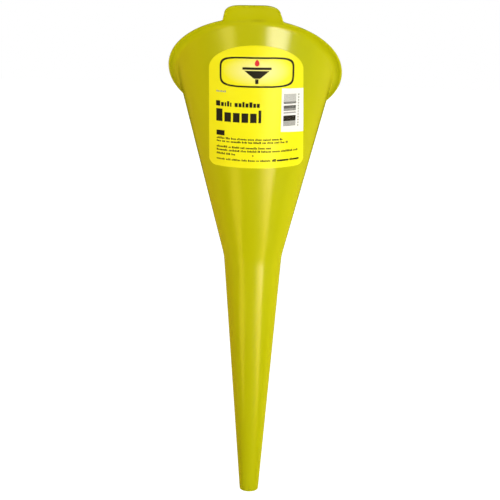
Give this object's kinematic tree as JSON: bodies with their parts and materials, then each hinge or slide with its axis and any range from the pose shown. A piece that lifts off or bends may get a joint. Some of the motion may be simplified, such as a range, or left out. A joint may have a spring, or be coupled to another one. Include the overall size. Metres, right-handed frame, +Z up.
{
  "type": "long-neck funnel",
  "caption": "Moulded plastic funnel with a long tapered spout, a wide bowl whose mouth is cut on a slant, a turned-out lip with a grip tab, and a wrap label.",
  "frame": {"origin": "centre of the spout's outlet, in the plane of its annular end face", "axes": "+Z up the axis of the spout and bowl to the mouth; -Y towards the high side of the mouth, where the grip tab and the label are"},
  "size_m": [0.131, 0.1448, 0.4038],
  "materials": {
    "yellow_plastic": "satin moulded polyethylene, yellow right through",
    "label_film": "printed self-adhesive film, semi-gloss"
  },
  "bodies": {
    "root": {"funnel_body": "yellow_plastic", "label": "label_film"}
  },
  "joints": []
}
